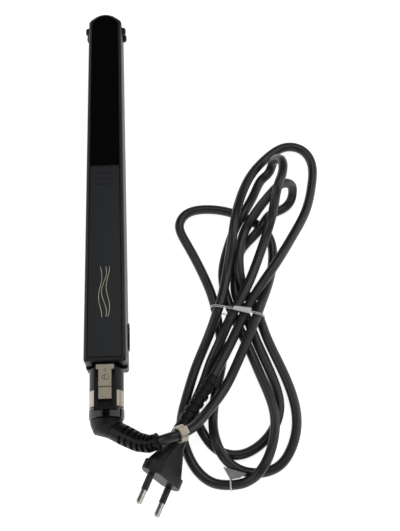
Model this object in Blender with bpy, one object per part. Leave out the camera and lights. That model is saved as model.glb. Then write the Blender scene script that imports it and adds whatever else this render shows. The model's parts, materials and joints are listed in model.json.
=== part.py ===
"""Slim hair straightener: two hinged arms, closed and locked, with a swivel cord and a two-pin plug.

Metres, +Z up. The straightener lies on its lower arm. +Y runs to the tip, +X to the side of the power
switch, and the origin is on the table under the middle of the closed arms.
Run with: blender --background --python part.py
"""

import math

import bmesh
import bpy
import numpy as np
from mathutils import Matrix, Vector

MM = 0.001

# ---- driving dimensions, in millimetres ----
GAP = 0.3  # between neighbouring pieces
TIP_Y = 138.6
CAP_END_Y = -137.25
UPPER_REAR_Y = -104.9
LOWER_REAR_Y = -106.4
HALF_REAR = 12.65  # half width of the arms at their rear
HALF_TIP = 10.95
TIP_CORNER_Y = 133.0
TIP_BOW = 5.6  # how far the tip's end bows forward of its corners
TOP_REAR_Z = 28.0
TOP_TIP_Z = 24.0
PARTING_Z = 13.0
RIM_GAP = 0.3  # from the parting plane to each arm's rim
EDGE = 1.9  # bevel between an arm's side and its panel
WALL = 1.5
PANEL_DEPTH = 1.4
PANEL_EDGE = 2.3
ROOF = 3.2  # outer face to the ceiling of the hollow
PANEL_SPLIT_Y = 23.0
PLATE_REAR_Y, PLATE_FRONT_Y = 36.0, 123.0
PLATE_HALF = 8.9
PLATE_THICK = 2.3
PLATE_TRAVEL = 0.6
TIP_PIN_Y, TIP_PIN_UP, TIP_PIN_R, TIP_PIN_HALF = 128.0, 4.1, 2.7, 13.6
HINGE_Y, HINGE_Z, HINGE_PIN_R, KNUCKLE_R = -100.0, 21.0, 1.4, 3.0
AXIS_Z = 14.0  # height of the barrel's and the swivel's axis
BARREL_R = 10.2
BARREL_FRONT_Y, BARREL_END_Y = -107.0, -130.6
RING_FRONT_Y, RING_END_Y, RING_R = -120.9, -130.3, 10.35
CAP_R = 10.55
CHANNEL_HALF, CHANNEL_FLOOR_Z, CHANNEL_TOP_Z, CHANNEL_END_Y = 6.4, 20.9, 24.9, -132.8
LOCK_HALF, LOCK_TOP_Z, LOCK_FRONT_Y, LOCK_LENGTH, LOCK_TRAVEL = 3.8, 25.4, -106.4, 20.2, 4.5
LOCK_EAR, LOCK_STEP_Y = 2.7, -119.5
SWITCH_Y, SWITCH_Z, SWITCH_TRAVEL = -85.6, 7.6, 3.0
SWIVEL_TILT = math.radians(20)  # the elbow lies turned up by this much
BORE_R = 5.6  # the barrel's bore for the swivel
RING_CORE_R = 9.3
NECK_HALF, NECK_LOW_Z, NECK_HIGH_Z = 7.9, 4.2, 12.2  # the barrel's root inside the lower arm
TONGUE_HALF = 5.0  # the barrel's knuckle inside the upper arm
FAR_X, FAR_Y, FAR_Z = 20.0, -140.0, 40.0  # past everything, where the cutters end
CHAMBER_R, FLANGE_R, EXIT_R, NECK_R = 6.3, 6.0, 5.5, 5.1  # of the end cap and of the hub in it
SHAFT_R, SLIP_RING_R, SLIP_RING_LENGTH = 3.2, 4.2, 2.5
SWITCH_LENGTH, SWITCH_HEIGHT, SWITCH_PROUD = 16.4, 5.2, 0.95
COVER_REAR_Y, COVER_THICK = -93.0, 1.5
SCREW_FRONT_Y, SCREW_REAR_Y = 26.0, -70.0
PAD_FRONT_Y, PAD_REAR_Y, PAD_HALF = 112.0, 46.0, 4.0
MICA_LOW, MICA_HIGH = 4.25, 4.65  # heights over the parting plane
CARRIER_THICK = 1.5
CAP_FRONT_Y = BARREL_END_Y - GAP
PLUG_FACE = Vector((30.8, -172.9, 15.6))
PLUG_FORWARD = Vector((-0.41, -0.903, 0.125)).normalized()
PLUG_ROLL = math.radians(54)
PLUG_HALF_LONG, PLUG_HALF_THICK, PLUG_LENGTH = 16.4, 6.85, 33.0
PIN_SPACING, PIN_LENGTH, PIN_R, PIN_SLEEVE = 18.6, 19.0, 2.0, 10.0
PLUG_RIBS = 7
CLIP_CENTRE, CLIP_ALONG = Vector((43.5, -148.8, 25.85)), Vector((3.4, 1.48, -1.48)).normalized()
CLIP_R, CLIP_BORE_R, CLIP_HALF = 5.0, 4.1, 2.2
LOOP_TIE_CENTRE, LOOP_TIE_ALONG = Vector((71.6, -175.9, 4.75)), Vector((-0.99, 0, -0.12)).normalized()
LOOP_TIE_R, LOOP_WIRE_R = 3.9, 0.45

# sections of the swivel's elbow: along the tilted sideways axis, along Y, turn in degrees, radius
CONE_SECTIONS = [(0, CAP_END_Y - GAP, 0, 9.9), (0, -139.5, 6, 9.5), (0.9, -142, 22, 8.9)]
CONE_SECTIONS += [(5, -143.5, 48, 6.05)]
RELIEF_SECTIONS = [(5.22, -143.7, 48, 6.0), (11.8, -147.4, 58, 6.0), (20.2, -151.9, 68, 5.6)]
RELIEF_SECTIONS += [(27, -153.5, 85, 5.1), (32.7, -152.4, 103, 4.6)]

CORD_R = 3.0
CORD_LOWEST = CORD_R + 0.05
CORD_TURN, CORD_REACH = math.radians(24), 18.0  # the most that the tube turns or runs between two points
# The cord's middle line in millimetres: out of the elbow, through the tied loops, to the plug's relief.
CORD_ROUTE = [
    (31.0, -152.3, 25.3), (37.7, -150.8, 27.3), (48.5, -146, 23), (60, -133.5, 14), (70.5, -119.5, 9.5),
    (79, -103.5, 9.5), (88.5, -83.5, 10.6), (95.5, -67, 10.4), (101.5, -51, 5), (105, -33.5, 3.1),
    (103.5, -21.5, 3.1), (98, -13.5, 3.1), (84.5, -5, 3.1), (69, -0.5, 3.1), (55, -1, 3.1),
    (48.5, -5, 3.1), (46, -12, 3.1), (51, -25, 3.1), (60, -45, 3.1), (66, -64, 4.6), (69, -84, 3.1),
    (69.5, -101.5, 3.1), (65, -121, 3.1), (62.5, -139, 5), (63.5, -150, 9), (67, -159, 9),
    (73.5, -165.5, 5.5), (82.5, -169, 3.1), (92.5, -169, 3.1), (101.5, -165, 3.1),
    (108.5, -155.5, 3.1), (112.5, -142, 3.1), (111.5, -126, 3.1), (105.5, -107, 3.1),
    (97.5, -86.5, 3.7), (92, -69.5, 4.6), (85.5, -57.5, 6), (83, -46.5, 9.5), (83.5, -32.5, 10.1),
    (87.5, -19, 10.1), (92, -12, 12.5), (98.5, -5, 19), (106, 1.5, 25.5), (111.5, 6.5, 24.5),
    (117, 8.5, 20), (119.5, 7.5, 13), (118.5, 2.5, 7), (113, -2.5, 5), (104.5, -7, 6.5),
    (99, -15, 9.5), (92.5, -22, 6.7), (85.5, -28.5, 3.3), (81.5, -40, 3.1), (80, -58, 3.1),
    (84.5, -71, 4.8), (91.5, -90, 3.1), (99, -110.5, 3.1), (103, -128, 3.1), (100.5, -140, 3.1),
    (92.5, -151, 3.1), (80.5, -158, 3.1), (70.5, -158, 3.1), (62, -153, 3.1), (54.5, -141.5, 3.1),
    (51.5, -130, 3.1), (56.5, -117.5, 3.1), (62.5, -102.5, 5), (68.5, -91, 9.5), (76.5, -75, 12),
    (85.5, -59.5, 12.5), (93, -43, 11.5), (99.5, -26.5, 12), (104, -14.5, 17), (106, -7, 26.5),
    (108, 1, 32), (111.5, 10.5, 31.5), (112.5, 20, 28.5), (110.5, 25, 23), (108, 26, 15.5),
    (105.5, 22, 9), (100.5, 18, 6.5), (95, 7.5, 7.5), (86.5, -8, 9.5), (80.5, -18, 6), (76, -29, 3.1),
    (72.5, -44.5, 3.1), (74, -60.5, 4.6), (79, -76, 4.6), (86.5, -94.5, 3.5), (93, -113.5, 6),
    (98.5, -132.5, 9.5), (98.5, -146.5, 10), (94.5, -160, 10), (88, -170, 10), (80, -175, 6.5),
    (70.5, -176, 4.7), (60.5, -174, 3.8), (51.5, -166, 3.5), (45.5, -153, 3.1), (43.5, -139, 3.1),
    (47, -123.5, 3.1), (53.5, -104.5, 3.1), (61, -88, 5.5), (67, -74, 10.5), (71.5, -61, 10.5),
    (75.5, -43.5, 10), (78.5, -28.5, 14.5), (81.5, -12.5, 16), (85.5, 2.5, 12.5), (92.5, 18.5, 9.5),
    (102.5, 31, 8), (115.5, 40.5, 7), (125, 41, 6), (131.5, 36, 6), (134.5, 26.5, 6), (133, 13, 6.5),
    (128, -4.5, 7.5), (118.5, -22, 9.5), (107, -40.5, 12.5), (96.5, -55, 12), (85.5, -72, 11),
    (76.5, -89.5, 9.5), (63.8, -112.2, 10.4),
]
TIE_START, TIE_END = Vector((63.1, -68.6, 0)), Vector((93.4, -75.7, 0))
TIE_SIDEWAYS, TIE_UPWARD, TIE_THICK, TIE_HALF = 5.8, 3.7, 0.5, 0.35  # round the strands, and its section
# the strands that the bundle tie holds, in its own plane: sideways from its start, and height
TIE_STRANDS = [(3.8, 4.0), (32.5, 4.05), (29.7, 10.9), (15.2, 12.5), (5.4, 11.2)]


# ---- helpers ----
def material(name, colour, roughness, metallic=0.0):
    found = bpy.data.materials.get(name)
    if found:
        return found
    made = bpy.data.materials.new(name)
    made.use_nodes = True
    shader = made.node_tree.nodes["Principled BSDF"]
    shader.inputs["Base Color"].default_value = (*colour, 1)
    shader.inputs["Roughness"].default_value = roughness
    shader.inputs["Metallic"].default_value = metallic
    return made


SATIN_BLACK = ("satin_black", (0.018, 0.019, 0.021), 0.45)
GLOSS_BLACK = ("gloss_black", (0.004, 0.004, 0.005), 0.08)
CHARCOAL = ("charcoal", (0.022, 0.024, 0.028), 0.5)
CHAMPAGNE = ("champagne", (0.50, 0.43, 0.32), 0.3, 0.9)
STEEL = ("steel", (0.55, 0.55, 0.56), 0.3, 1.0)
BRASS = ("brass", (0.6, 0.45, 0.2), 0.3, 1.0)
PLATE_COAT = ("plate_coat", (0.08, 0.075, 0.07), 0.2, 0.6)
HEAT_PLASTIC = ("heat_plastic", (0.03, 0.03, 0.03), 0.6)
CERAMIC = ("ceramic_white", (0.75, 0.73, 0.68), 0.5)
MICA = ("mica", (0.42, 0.34, 0.2), 0.4)
SILICONE = ("silicone", (0.5, 0.1, 0.06), 0.6)
BOARD_GREEN = ("board_green", (0.03, 0.16, 0.06), 0.45)
CORD_BLACK = ("cord_black", (0.03, 0.032, 0.034), 0.5)
NICKEL = ("nickel", (0.62, 0.6, 0.56), 0.25, 1.0)
TIE_WHITE = ("tie_white", (0.8, 0.8, 0.8), 0.4)


def empty(name, place):
    made = bpy.data.objects.new(name, None)
    made.location = Vector(place) * MM
    bpy.context.scene.collection.objects.link(made)
    return made


def add(name, bm, finish, parent=None, smooth=None):
    """A mesh object from a bmesh in millimetres, put under its parent without moving it."""
    bmesh.ops.recalc_face_normals(bm, faces=bm.faces)
    bmesh.ops.scale(bm, vec=(MM, MM, MM), verts=bm.verts)
    mesh = bpy.data.meshes.new(name)
    bm.to_mesh(mesh)
    bm.free()
    made = bpy.data.objects.new(name, mesh)
    bpy.context.scene.collection.objects.link(made)
    mesh.materials.append(material(*finish))
    if smooth is not None:
        mesh.shade_smooth()
        mesh.set_sharp_from_angle(angle=math.radians(smooth))
    if parent:
        mesh.transform(Matrix.Translation(-parent.location))
        made.parent = parent
    return made


def skin(bm, rings):
    """Closed skin over rings that have the same number of points."""
    rows = [[bm.verts.new(p) for p in ring] for ring in rings]
    count = len(rows[0])
    for low, high in zip(rows, rows[1:]):
        for i in range(count):
            j = (i + 1) % count
            bm.faces.new((low[i], low[j], high[j], high[i]))
    bm.faces.new(rows[0][::-1])
    bm.faces.new(rows[-1])


def lofted(rings):
    bm = bmesh.new()
    skin(bm, rings)
    return bm


def block(low, high):
    """A box between two corners."""
    (x0, y0, z0), (x1, y1, z1) = low, high
    return lofted([[(x0, y0, z), (x1, y0, z), (x1, y1, z), (x0, y1, z)] for z in (z0, z1)])


def circle(radius, count=24, turn=0.0):
    return [
        (radius * math.cos(turn + math.tau * i / count), radius * math.sin(turn + math.tau * i / count))
        for i in range(count)
    ]


def turned_y(profile, centre=(0, 0), count=24):
    """A solid of revolution about a line along Y; the profile is (y, radius) pairs."""
    cx, cz = centre
    return lofted([[(cx + u, y, cz + v) for u, v in circle(r, count)] for y, r in profile])


def turned_x(profile, y, z, count=16):
    return lofted([[(x, y + u, z + v) for u, v in circle(r, count)] for x, r in profile])


def cutter(name, bm):
    made = add(name, bm, SATIN_BLACK)
    made.hide_render = True
    made.display_type = "WIRE"
    return made


def cut(target, *tools, operation="DIFFERENCE"):
    for tool in tools:
        step = target.modifiers.new(tool.name, "BOOLEAN")
        step.operation = operation
        step.object = tool


def cross_bore(radius, y, z):
    """A clear hole from side to side for a pin of this radius."""
    return turned_x([(-FAR_X, radius + GAP), (FAR_X, radius + GAP)], y, z)


def soften(target, width=0.4, segments=2):
    bevel = target.modifiers.new("soft_edges", "BEVEL")
    bevel.width = width * MM
    bevel.segments = segments
    bevel.limit_method = "ANGLE"
    bevel.angle_limit = math.radians(40)


# ---- the outline of the arms, seen from above ----
def half_width(y):
    share = (y - UPPER_REAR_Y) / (TIP_CORNER_Y - UPPER_REAR_Y)
    return HALF_REAR + (HALF_TIP - HALF_REAR) * share


def top_z(y):
    share = (y - UPPER_REAR_Y) / (TIP_Y - UPPER_REAR_Y)
    return TOP_REAR_Z + (TOP_TIP_Z - TOP_REAR_Z) * share


def corner(x, y, radius, start, steps=3):
    """Points of a quarter turn whose outer corner is at (x, y), for the right-hand side."""
    cx, cy = x - radius, y + radius if start < 0 else y - radius
    angles = [math.radians(start + 90 * i / steps) for i in range(steps + 1)]
    return [(cx + radius * math.cos(a), cy + radius * math.sin(a)) for a in angles]


def outline(inset, rear, front, bowed, rear_radius=1.6, front_radius=1.6):
    """An arm's or panel's outline, anticlockwise, with a bowed or a straight front end."""
    right = corner(half_width(rear) - inset, rear + inset, rear_radius, -90)
    if bowed:
        side = half_width(TIP_CORNER_Y) - inset
        apex = front - inset
        right += [(side, apex - TIP_BOW - 1.0), (side - 0.35, apex - TIP_BOW + 0.15)]
        right += [(side * s, apex - TIP_BOW * s * s) for s in (0.88, 0.7, 0.5, 0.25)]
    else:
        right += corner(half_width(front) - inset, front - inset, front_radius, 0)
    left = [(-x, y) for x, y in reversed(right)]
    middle = [(0.0, front - inset)] if bowed else []
    return right + middle + left


def arm_rings(levels, rear, front=TIP_Y, bowed=True):
    """Rings of an arm-shaped solid; a level is (inset, height as a number or a function of y)."""
    rings = []
    for inset, height in levels:
        flat = outline(inset, rear, front, bowed)
        rings.append([(x, y, height(y) if callable(height) else height) for x, y in flat])
    return rings


def below_top(depth):
    return lambda y: top_z(y) - depth


def mirror_z(z):
    """The lower arm's heights mirror the upper arm's in the parting plane."""
    return 2 * PARTING_Z - z


# ---- the arms' casings and what shows on them ----
def upper_shell(arm):
    bm = lofted(
        arm_rings(
            [
                (0.5, PARTING_Z + RIM_GAP),
                (0.0, PARTING_Z + RIM_GAP + 0.5),
                (0.0, below_top(EDGE + 0.6)),
                (0.5, below_top(EDGE - 0.7)),
                (EDGE, below_top(0)),
            ],
            UPPER_REAR_Y,
        )
    )
    shell = add("upper_shell", bm, SATIN_BLACK, arm, smooth=32)
    hollow = arm_rings([(WALL, PARTING_Z - 2), (WALL, below_top(ROOF))], UPPER_REAR_Y)
    panels = arm_rings([(PANEL_EDGE, below_top(PANEL_DEPTH)), (PANEL_EDGE, below_top(-2))], UPPER_REAR_Y)
    way = NECK_HALF + GAP
    cut(
        shell,
        cutter("cut_upper_hollow", lofted(hollow)),
        cutter("cut_upper_panels", lofted(panels)),
        cutter("cut_upper_tip_pin", cross_bore(TIP_PIN_R, TIP_PIN_Y, PARTING_Z + TIP_PIN_UP)),
        cutter("cut_hinge_bore", cross_bore(HINGE_PIN_R, HINGE_Y, HINGE_Z)),
        cutter("cut_tongue_way", block((-way, FAR_Y, PARTING_Z - 1), (way, -102, below_top(ROOF)(-104)))),
        cutter("cut_rear_relief", block((-FAR_X, FAR_Y, PARTING_Z - 1), (FAR_X, -97.5, PARTING_Z + 2.2))),
    )
    return shell


def lower_shell():
    bm = lofted(
        arm_rings(
            [
                (EDGE, 0.0),
                (0.5, EDGE - 0.7),
                (0.0, EDGE + 0.6),
                (0.0, PARTING_Z - RIM_GAP - 0.5),
                (0.5, PARTING_Z - RIM_GAP),
            ],
            LOWER_REAR_Y,
        )
    )
    shell = add("lower_shell", bm, SATIN_BLACK, smooth=32)
    hollow = arm_rings([(WALL, ROOF), (WALL, PARTING_Z + 2)], LOWER_REAR_Y)
    panels = arm_rings([(PANEL_EDGE, -2.0), (PANEL_EDGE, PANEL_DEPTH)], LOWER_REAR_Y)
    slot = block((9, SWITCH_Y - SWITCH_TRAVEL - 2.6, SWITCH_Z - 1.6), (FAR_X, SWITCH_Y + 2.6, SWITCH_Z + 1.6))
    way = NECK_HALF + GAP
    cut(
        shell,
        cutter("cut_lower_hollow", lofted(hollow)),
        cutter("cut_lower_panels", lofted(panels)),
        cutter("cut_lower_tip_pin", cross_bore(TIP_PIN_R, TIP_PIN_Y, PARTING_Z - TIP_PIN_UP)),
        cutter("cut_switch_slot", slot),
        cutter("cut_neck_way", block((-way, FAR_Y, NECK_LOW_Z - 0.4), (way, -103, PARTING_Z + 2))),
    )
    return shell


def panel(name, finish, rear, front, bowed, upper, parent=None):
    """One of the thin covers let into an arm's outer face, flush with it."""
    inset = PANEL_EDGE + GAP if bowed else 0.0
    floor = PANEL_DEPTH - GAP
    levels = [(inset, below_top(floor)), (inset, below_top(0))]
    if not upper:
        levels = [(inset, 0.0), (inset, floor)]
    if bowed:
        rings = arm_rings(levels, rear - inset, front)
    else:
        side = PANEL_EDGE + GAP
        flat = outline(side, rear, front + side, False, rear_radius=1.2, front_radius=2.0)
        rings = [[(x, y, h(y) if callable(h) else h) for x, y in flat] for _, h in levels]
    return add(name, lofted(rings), finish, parent, smooth=32)


def panels(arm):
    gloss = ("upper_front_panel", "lower_front_panel")
    satin = ("upper_handle_panel", "lower_handle_panel")
    for k, (parent, rear) in enumerate(((arm, UPPER_REAR_Y), (None, LOWER_REAR_Y))):
        panel(gloss[k], GLOSS_BLACK, PANEL_SPLIT_Y + GAP, TIP_Y, True, k == 0, parent)
        panel(satin[k], CHARCOAL, rear, PANEL_SPLIT_Y - GAP, False, k == 0, parent)


def tip_pin(name, z, parent=None):
    """A cross pin whose domed ends stand out as the round nubs near the tip."""
    r, end = TIP_PIN_R, TIP_PIN_HALF
    dome = [(end - 1.3, r), (end - 0.6, r * 0.86), (end - 0.15, r * 0.6), (end, r * 0.25)]
    profile = [(-x, rad) for x, rad in reversed(dome)] + dome
    return add(name, turned_x(profile, TIP_PIN_Y, z, 18), SATIN_BLACK, parent, smooth=40)


# ---- what the arms hold ----
def plate_stack(side, parent, carrier_parent):
    """Plate, heater and mica ride on the floating plate; the carrier and its pads stay with the arm."""
    upper = side == "upper"

    def layer(name, low, high, half, rear, front, finish, owner):
        z0, z1 = PARTING_Z + low, PARTING_Z + high
        if not upper:
            z0, z1 = mirror_z(z1), mirror_z(z0)
        return add(name, block((-half, rear, z0), (half, front, z1)), finish, owner)

    top = 0.15 + PLATE_THICK
    plate = layer(f"{side}_plate", 0.15, top, PLATE_HALF, PLATE_REAR_Y, PLATE_FRONT_Y, PLATE_COAT, parent)
    soften(plate, 0.7)
    layer(f"{side}_heater", top + GAP, top + GAP + 1.2, 4.0, 52, 110, CERAMIC, parent)
    layer(f"{side}_mica_sheet", MICA_LOW, MICA_HIGH, 7.6, 40, 118, MICA, parent)
    base = MICA_HIGH + PLATE_TRAVEL + GAP
    high = base + CARRIER_THICK
    carrier = layer(f"{side}_plate_carrier", base, high, 8.9, 34, 123.5, HEAT_PLASTIC, carrier_parent)
    opening = PAD_HALF + GAP
    for label, y in (("front", PAD_FRONT_Y), ("rear", PAD_REAR_Y)):
        window = block((-opening, y - opening, 0), (opening, y + opening, FAR_Z))
        cut(carrier, cutter(f"cut_{side}_{label}_pad", window))
        rear, front = y - PAD_HALF, y + PAD_HALF
        pad = layer(f"{side}_{label}_pad", base, high + 0.2, PAD_HALF, rear, front, SILICONE, carrier_parent)
        soften(pad, 0.3, 1)


def inner_cover(name, z0, z1, parent):
    """Closes the handle's hollow on the side that faces the other arm."""
    inset = WALL + GAP
    flat = outline(inset, COVER_REAR_Y, PLATE_REAR_Y - 1.2 + inset, False, 1.0, 1.0)
    bm = lofted([[(x, y, z) for x, y in flat] for z in (z0, z1)])
    return add(name, bm, HEAT_PLASTIC, parent)


def screw(name, x, y, z, down, parent):
    """Countersunk screw with a cross recess; the thread is a plain shank."""
    turn = -1 if down else 1
    profile = [(0.0, 1.9), (0.5, 1.9), (1.3, 0.95), (5.0, 0.95), (5.5, 0.5)]
    rings = [[(x + u, y + v, z + turn * depth) for u, v in circle(r, 12)] for depth, r in profile]
    made = add(name, lofted(rings), STEEL, parent, smooth=30)
    for k, (a, b) in enumerate(((1.3, 0.3), (0.3, 1.3))):
        slot = block((x - a, y - b, z - 0.6), (x + a, y + b, z + 0.6))
        cut(made, cutter(f"cut_{name}_{k}", slot))
    return made


def arm_internals(arm):
    low, high = 0.5, 0.5 + COVER_THICK
    upper_cover = inner_cover("upper_inner_cover", PARTING_Z + low, PARTING_Z + high, arm)
    lower_cover = inner_cover("lower_inner_cover", PARTING_Z - high, PARTING_Z - low, None)
    for side, cover, z, parent in (
        ("upper", upper_cover, PARTING_Z + 0.6, arm),
        ("lower", lower_cover, PARTING_Z - 0.6, None),
    ):
        for label, y in (("front", SCREW_FRONT_Y), ("rear", SCREW_REAR_Y)):
            hole = lofted([[(u, y + v, z + depth) for u, v in circle(2.3, 16)] for depth in (-3, 3)])
            cut(cover, cutter(f"cut_{side}_{label}_screw_hole", hole))
            screw(f"{side}_{label}_screw", 0, y, z, side == "lower", parent)


def electronics():
    board = add("control_board", block((-8.5, -60, 4.4), (6.5, -22, 6.0)), BOARD_GREEN)
    chip = cutter("union_chip", block((-5, -48, 5.5), (1, -42, 7.4)))
    relay = cutter("union_relay", block((-6, -36, 5.5), (4, -27, 9.2)))
    cut(board, chip, relay, operation="UNION")
    fuse = turned_y([(-4, 0.6), (-3.6, 2.0), (7.6, 2.0), (8, 0.6)], (0, 6.4), 12)
    add("thermal_fuse", fuse, CERAMIC, smooth=40)
    add("switch_body", block((1.0, SWITCH_Y - 7.5, 4.2), (8.6, SWITCH_Y + 6.5, 10.4)), HEAT_PLASTIC)


def power_slider(parent):
    """Proud finger piece on the lower arm's flank, with its stem through the slot to the switch."""
    face = half_width(SWITCH_Y)
    knob = block(
        (face + GAP, SWITCH_Y - SWITCH_LENGTH / 2, SWITCH_Z - SWITCH_HEIGHT / 2),
        (face + SWITCH_PROUD, SWITCH_Y + SWITCH_LENGTH / 2, SWITCH_Z + SWITCH_HEIGHT / 2),
    )
    made = add("power_slider", knob, SATIN_BLACK, parent, smooth=32)
    stem = block((9.2, SWITCH_Y - 2.0, SWITCH_Z - 1.0), (face + 0.6, SWITCH_Y + 2.0, SWITCH_Z + 1.0))
    cut(made, cutter("union_slider_stem", stem), operation="UNION")
    return made


# ---- the rear: barrel, hinge, lock and swivel ----
def barrel():
    end, front = BARREL_END_Y, BARREL_FRONT_Y
    profile = [(end, RING_CORE_R + 0.6), (end + 0.3, BARREL_R), (front - 0.6, BARREL_R), (front, 9.6)]
    made = add("barrel", turned_y(profile, (0, AXIS_Z), 40), SATIN_BLACK, smooth=32)
    neck = cutter("union_neck", block((-NECK_HALF, -110, NECK_LOW_Z), (NECK_HALF, -97, NECK_HIGH_Z)))
    knuckle = [
        (HINGE_Y + KNUCKLE_R * math.cos(a), HINGE_Z + KNUCKLE_R * math.sin(a))
        for a in np.linspace(-math.pi / 2, math.pi / 2, 9)
    ]
    tail = [(-110.0, HINGE_Z - 0.2), (-110.0, HINGE_Z - KNUCKLE_R)]
    sides = [[(x, float(y), float(z)) for y, z in knuckle + tail] for x in (-TONGUE_HALF, TONGUE_HALF)]
    cut(made, neck, cutter("union_tongue", lofted(sides)), operation="UNION")
    groove = cutter("cut_ring_groove", turned_y([(end - 2, 12), (RING_FRONT_Y + GAP, 12)], (0, AXIS_Z), 40))
    core = turned_y([(FAR_Y, RING_CORE_R), (-100, RING_CORE_R)], (0, AXIS_Z), 40)
    cut(groove, cutter("core_ring_groove", core))
    cut(
        made,
        groove,
        cutter("cut_channel_seat", channel_seat()),
        cutter("cut_swivel_bore", turned_y([(FAR_Y, BORE_R), (-112, BORE_R)], (0, AXIS_Z), 32)),
        cutter("cut_pin_bore", cross_bore(HINGE_PIN_R, HINGE_Y, HINGE_Z)),
        cutter("cut_lead_way", block((-2.5, -113, 9.0), (2.5, -90, 11.0))),
    )
    return made


def channel_seat():
    """The space that the lock's channel and its gap take out of the barrel and the ring."""
    half = CHANNEL_HALF + GAP
    return block((-half, CHANNEL_END_Y - GAP, CHANNEL_FLOOR_Z - GAP), (half, -105.5, FAR_Z))


def trim_ring():
    """The champagne ring, open where the lock's channel passes."""
    ring = turned_y([(RING_END_Y, RING_R), (RING_FRONT_Y, RING_R)], (0, AXIS_Z), 48)
    made = add("trim_ring", ring, CHAMPAGNE, smooth=32)
    inner = RING_CORE_R + GAP
    cut(
        made,
        cutter("cut_ring_bore", turned_y([(FAR_Y, inner), (-100, inner)], (0, AXIS_Z), 40)),
        cutter("cut_ring_channel", channel_seat()),
    )


def end_cap():
    """Glossy cap behind the ring; its chamber holds the swivel's flange."""
    profile = [(CAP_END_Y, 9.6), (CAP_END_Y + 0.5, CAP_R), (CAP_FRONT_Y - 0.9, CAP_R), (CAP_FRONT_Y, 10.1)]
    made = add("end_cap", turned_y(profile, (0, AXIS_Z), 48), GLOSS_BLACK, smooth=32)
    cut(
        made,
        cutter("cut_cap_chamber", turned_y([(-134.5, CHAMBER_R), (-120, CHAMBER_R)], (0, AXIS_Z), 32)),
        cutter("cut_cap_exit", turned_y([(FAR_Y, EXIT_R), (-134, EXIT_R)], (0, AXIS_Z), 32)),
        cutter("cut_cap_channel", channel_seat()),
    )


def lock_channel():
    """The black tray in the barrel's top that the lock slides in."""
    half, floor = CHANNEL_HALF, CHANNEL_FLOOR_Z
    tray = block((-half, CHANNEL_END_Y, floor), (half, -107.2, CHANNEL_TOP_Z))
    made = add("lock_channel", tray, SATIN_BLACK, smooth=32)
    run_half, run_end = LOCK_HALF + 0.4, LOCK_FRONT_Y - LOCK_LENGTH - LOCK_TRAVEL - GAP
    run = block((-run_half, run_end, floor + 0.9), (run_half, -100, FAR_Z))
    ears = block((-5.7, LOCK_FRONT_Y - LOCK_EAR - LOCK_TRAVEL - 0.4, floor + 2.1), (5.7, -100, FAR_Z))
    cut(made, cutter("cut_lock_run", run), cutter("cut_ear_run", ears))


def lock_slider(parent):
    """The lock's button: a front with ears, and a lower step behind the thumb line."""
    front, end = LOCK_FRONT_Y, LOCK_FRONT_Y - LOCK_LENGTH
    half, ear, back = LOCK_HALF, 5.3, LOCK_FRONT_Y - LOCK_EAR
    right = [(half, end), (half, back), (ear, back), (ear, front)]
    flat = right + [(-x, y) for x, y in reversed(right)]
    top = lofted([[(x, y, z) for x, y in flat] for z in (CHANNEL_FLOOR_Z + 2.4, LOCK_TOP_Z)])
    made = add("lock_slider", top, CHAMPAGNE, parent)
    foot_half, foot_z = half - 0.4, CHANNEL_FLOOR_Z + 1.2
    foot = block((-foot_half, end + 0.4, foot_z), (foot_half, front - 0.4, foot_z + 2.2))
    cut(made, cutter("union_lock_foot", foot), operation="UNION")
    step = block((-FAR_X, end - 1, LOCK_TOP_Z - 0.6), (FAR_X, LOCK_STEP_Y, FAR_Z))
    cut(made, cutter("cut_lock_step", step))


def hinge_pin():
    profile = [(-11.6, 1.1), (-11.3, HINGE_PIN_R), (11.3, HINGE_PIN_R), (11.6, 1.1)]
    add("hinge_pin", turned_x(profile, HINGE_Y, HINGE_Z, 20), STEEL, smooth=30)


def swivel_hub(parent):
    """The shaft that turns in the barrel, with the flange that the end cap holds."""
    profile = [(CAP_END_Y, NECK_R), (-133.3, NECK_R), (-133.2, FLANGE_R), (-131.3, FLANGE_R)]
    profile += [(-131.2, SHAFT_R), (-114.6, SHAFT_R), (-114, SHAFT_R - 0.6)]
    made = add("swivel_hub", turned_y(profile, (0, AXIS_Z), 32), HEAT_PLASTIC, parent, smooth=32)
    for label, y in (("front", -116.0), ("rear", -121.5)):
        band = turned_y([(y - SLIP_RING_LENGTH, SLIP_RING_R), (y, SLIP_RING_R)], (0, AXIS_Z), 28)
        ring = add(f"slip_ring_{label}", band, BRASS, parent, smooth=32)
        bore = turned_y([(FAR_Y, SHAFT_R + GAP), (-100, SHAFT_R + GAP)], (0, AXIS_Z), 28)
        cut(ring, cutter(f"cut_slip_ring_{label}", bore))
        add(f"brush_{label}", block((-1, y - 2.2, AXIS_Z - 5.25), (1, y - 0.3, AXIS_Z - 4.5)), BRASS)


def elbow_ring(u, y, turn, radius, count=32):
    """A circle of points across the swivel's elbow, which lies in a plane turned up by the tilt."""
    side = Vector((math.cos(SWIVEL_TILT), 0, math.sin(SWIVEL_TILT)))
    across = Vector((-math.sin(SWIVEL_TILT), 0, math.cos(SWIVEL_TILT)))
    turn = math.radians(turn)
    first = side * math.cos(turn) + Vector((0, math.sin(turn), 0))
    centre = side * u + Vector((0, y, AXIS_Z))
    return [tuple(centre + first * a + across * b) for a, b in circle(radius, count)]


def elbow(parent):
    cone = lofted([elbow_ring(*section) for section in CONE_SECTIONS])
    add("swivel_cone", cone, SATIN_BLACK, parent, smooth=40)
    relief = lofted([elbow_ring(*section) for section in RELIEF_SECTIONS])
    add("strain_relief", relief, SATIN_BLACK, parent, smooth=40)


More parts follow.
